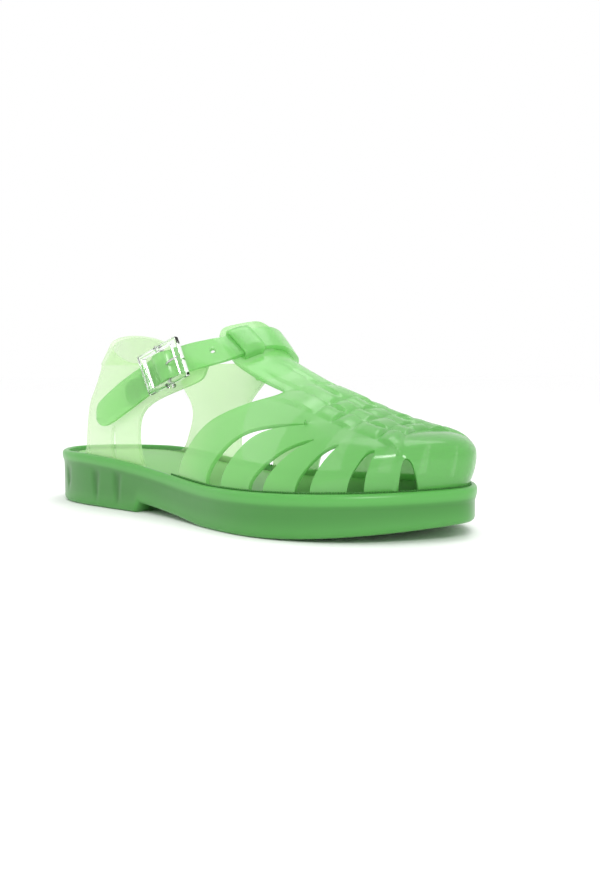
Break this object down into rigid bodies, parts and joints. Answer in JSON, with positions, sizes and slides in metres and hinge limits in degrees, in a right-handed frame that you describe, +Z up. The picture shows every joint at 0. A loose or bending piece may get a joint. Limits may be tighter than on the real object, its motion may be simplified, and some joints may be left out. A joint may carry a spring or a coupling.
{
  "type": "jelly sandal",
  "caption": "Right jelly sandal moulded in translucent green plastic: woven closed toe, open heel, T-bar and buckled ankle strap.",
  "frame": {"origin": "under the middle of the bounding box, on the ground", "axes": "+X towards the toe, +Y towards the inner side of this right shoe, +Z up"},
  "size_m": [0.262, 0.0984, 0.0951],
  "materials": {
    "sole_green": "translucent soft plastic, satin",
    "footbed_green": "translucent soft plastic, satin",
    "upper_green": "translucent soft plastic, glossy",
    "clear_plastic": "clear hard plastic, polished",
    "prong_metal": "plated wire",
    "anchor_green": "translucent soft plastic, glossy"
  },
  "bodies": {
    "root": {"outsole": "sole_green", "insole": "footbed_green", "upper": "upper_green", "buckle_frame": "clear_plastic", "buckle_prong": "prong_metal", "buckle_anchor": "anchor_green"}
  },
  "joints": []
}
